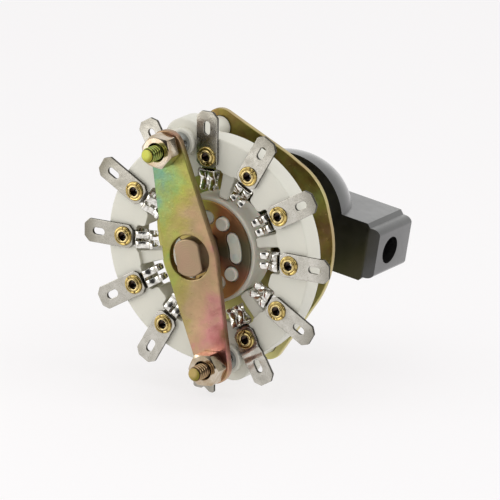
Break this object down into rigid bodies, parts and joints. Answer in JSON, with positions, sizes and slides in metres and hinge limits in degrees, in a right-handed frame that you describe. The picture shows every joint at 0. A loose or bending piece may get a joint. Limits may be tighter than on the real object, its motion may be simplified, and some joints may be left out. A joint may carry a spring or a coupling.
{
  "type": "rotary switch",
  "caption": "Open ceramic rotary switch with riveted solder tabs and spring clips round a rotor, a plated rear strap, an index plate, a threaded bushing and a black bar knob.",
  "frame": {"origin": "on the shaft's axis in the front face of the front plate, where the plate seats behind a panel", "axes": "+Y along the shaft to the rear, where the terminals and the strap are; -Y towards the knob; +Z towards terminal 1"},
  "size_m": [0.0744, 0.07, 0.0744],
  "materials": {
    "ceramic": "glazed white steatite ceramic, satin",
    "tin": "tin-plated brass, dull grey",
    "silver": "silver-plated spring bronze, bright",
    "brass": "polished brass",
    "yellow_zinc": "steel with iridescent yellow zinc chromate plating",
    "zinc": "bright zinc-plated steel",
    "nylon": "white moulded insulating resin, satin",
    "phenolic": "black moulded phenolic, satin gloss",
    "spring_steel": "hardened spring steel"
  },
  "bodies": {
    "frame": {"stator_wafer": "ceramic", "tab_01": "tin", "clip_01": "silver", "eyelet_01": "brass", "tab_02": "tin", "clip_02": "silver", "eyelet_02": "brass", "tab_03": "tin", "clip_03": "silver", "eyelet_03": "brass", "tab_04": "tin", "clip_04": "silver", "eyelet_04": "brass", "tab_05": "tin", "clip_05": "silver", "eyelet_05": "brass", "tab_06": "tin", "clip_06": "silver", "eyelet_06": "brass", "tab_07": "tin", "clip_07": "silver", "eyelet_07": "brass", "tab_08": "tin", "clip_08": "silver", "eyelet_08": "brass", "tab_09": "tin", "clip_09": "silver", "eyelet_09": "brass", "tab_10": "tin", "clip_10": "silver", "eyelet_10": "brass", "tab_11": "tin", "clip_11": "silver", "eyelet_11": "brass", "tab_12": "tin", "clip_12": "silver", "eyelet_12": "brass", "rear_strap": "yellow_zinc", "stud_upper": "yellow_zinc", "sleeve_upper": "zinc", "spacer_upper": "ceramic", "stud_nut_upper": "zinc", "stud_lower": "yellow_zinc", "sleeve_lower": "zinc", "spacer_lower": "ceramic", "stud_nut_lower": "zinc", "front_plate": "yellow_zinc", "panel_bushing": "zinc", "panel_washer": "zinc", "panel_nut": "zinc", "index_spring": "spring_steel", "index_post": "zinc", "stop_pin": "zinc"},
    "rotor": {"index_wheel": "spring_steel", "shaft": "yellow_zinc", "rotor_drum": "nylon", "rotor_blade": "silver", "rotor_disc": "yellow_zinc", "knob": "phenolic", "knob_screw": "spring_steel"}
  },
  "joints": [
    {"name": "shaft_turn", "type": "hinge", "parent": "frame", "child": "rotor", "pos_m": [0, 0, 0], "axis": [0, 1, 0], "range_deg": [-150, 180]}
  ]
}
